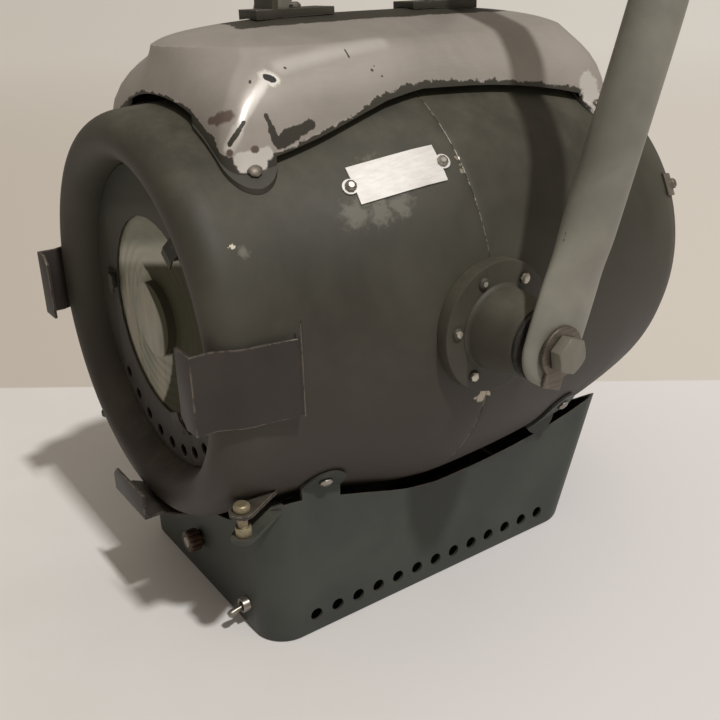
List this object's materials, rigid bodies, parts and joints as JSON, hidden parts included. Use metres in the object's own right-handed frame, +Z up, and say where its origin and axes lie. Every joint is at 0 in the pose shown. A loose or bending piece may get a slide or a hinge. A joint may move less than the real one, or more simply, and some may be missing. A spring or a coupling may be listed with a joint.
{
  "type": "film studio spotlight",
  "caption": "Barrel-shaped steel studio spotlight with stepped lens, accessory brackets, top vent cap, vented base box, lead-screw focus and a tilting tubular yoke.",
  "frame": {"origin": "on the underside of the base box, straight below the widest place of the barrel", "axes": "+Z up, -Y out of the lens, +X towards the side with the nameplate"},
  "size_m": [0.42, 0.423, 0.4804],
  "materials": {
    "olive_paint": "dark olive paint, matt, worn at edges",
    "green_paint": "dark green-grey paint, matt, worn at edges",
    "cap_paint": "grey-silver, half of the paint worn off to bare steel",
    "yoke_paint": "grey-green paint, satin",
    "bare_steel": "plain steel, dulled",
    "aluminium": "brushed",
    "brass": "dulled",
    "lens_glass": "pale green pressed glass",
    "bulb_glass": "clear",
    "mirror": "polished",
    "ceramic": "glazed",
    "bakelite": "brown moulding",
    "fibre": "black"
  },
  "bodies": {
    "housing": {"front_shell": "olive_paint", "rear_shell": "olive_paint", "lens_plate": "olive_paint", "right_bracket": "olive_paint", "left_bracket": "olive_paint", "bottom_bracket": "olive_paint", "hub_flange_right": "olive_paint", "hub_flange_left": "olive_paint", "hub_boss_right": "olive_paint", "hub_boss_left": "olive_paint", "handle": "olive_paint", "base_box": "green_paint", "vent_cap": "cap_paint", "seam_band": "bare_steel", "lens_ring": "bare_steel", "lens_clip_1": "bare_steel", "lens_clip_2": "bare_steel", "lens_clip_3": "bare_steel", "handle_screw_front": "bare_steel", "handle_screw_rear": "bare_steel", "rail_end_front": "bare_steel", "rail_end_rear": "bare_steel", "switch_body": "bare_steel", "nameplate_screw_front": "bare_steel", "nameplate_screw_rear": "bare_steel", "rear_clip": "bare_steel", "cap_screw_front_right": "bare_steel", "cap_screw_rear_right": "bare_steel", "lug_screw_front_right": "bare_steel", "lug_screw_rear_right": "bare_steel", "guide_rod_right": "bare_steel", "friction_washer_right": "fibre", "latch_bolt_right": "brass", "cap_screw_front_left": "bare_steel", "cap_screw_rear_left": "bare_steel", "lug_screw_front_left": "bare_steel", "lug_screw_rear_left": "bare_steel", "guide_rod_left": "bare_steel", "friction_washer_left": "fibre", "latch_bolt_left": "brass", "nameplate": "aluminium", "lens": "lens_glass", "terminal_block": "bakelite", "cable_gland": "fibre"},
    "yoke": {"yoke": "yoke_paint", "tab_washer_right": "bare_steel", "pivot_bolt_right": "bare_steel", "pivot_nut_right": "bare_steel", "tab_washer_left": "bare_steel", "pivot_bolt_left": "bare_steel", "pivot_nut_left": "bare_steel"},
    "carriage": {"lamp_carriage": "aluminium", "lamp_socket": "ceramic", "lamp_cap": "brass", "lamp_bulb": "bulb_glass", "reflector": "mirror"},
    "focus_drive": {"focus_knob": "bakelite", "focus_screw": "bare_steel"},
    "switch_lever": {"switch_lever": "bare_steel"}
  },
  "joints": [
    {"name": "yoke_tilt", "type": "hinge", "parent": "housing", "child": "yoke", "pos_m": [0, 0, 0.207], "axis": [1, 0, 0], "range_deg": [-90, 130]},
    {"name": "carriage_slide", "type": "slide", "parent": "housing", "child": "carriage", "axis": [0, -1, 0], "range_m": [-0.035, 0.045]},
    {"name": "focus_turn", "type": "hinge", "parent": "housing", "child": "focus_drive", "pos_m": [0, 0, 0.036], "axis": [0, 1, 0], "range_deg": [-1580, 2030]},
    {"name": "switch_throw", "type": "hinge", "parent": "housing", "child": "switch_lever", "pos_m": [0.0646, -0.134, 0.019], "axis": [1, 0, 0], "range_deg": [-26, 0]}
  ],
  "couplings": [
    {"joint": "focus_turn", "follows": "carriage_slide", "rad_per_m": 785.4}
  ]
}
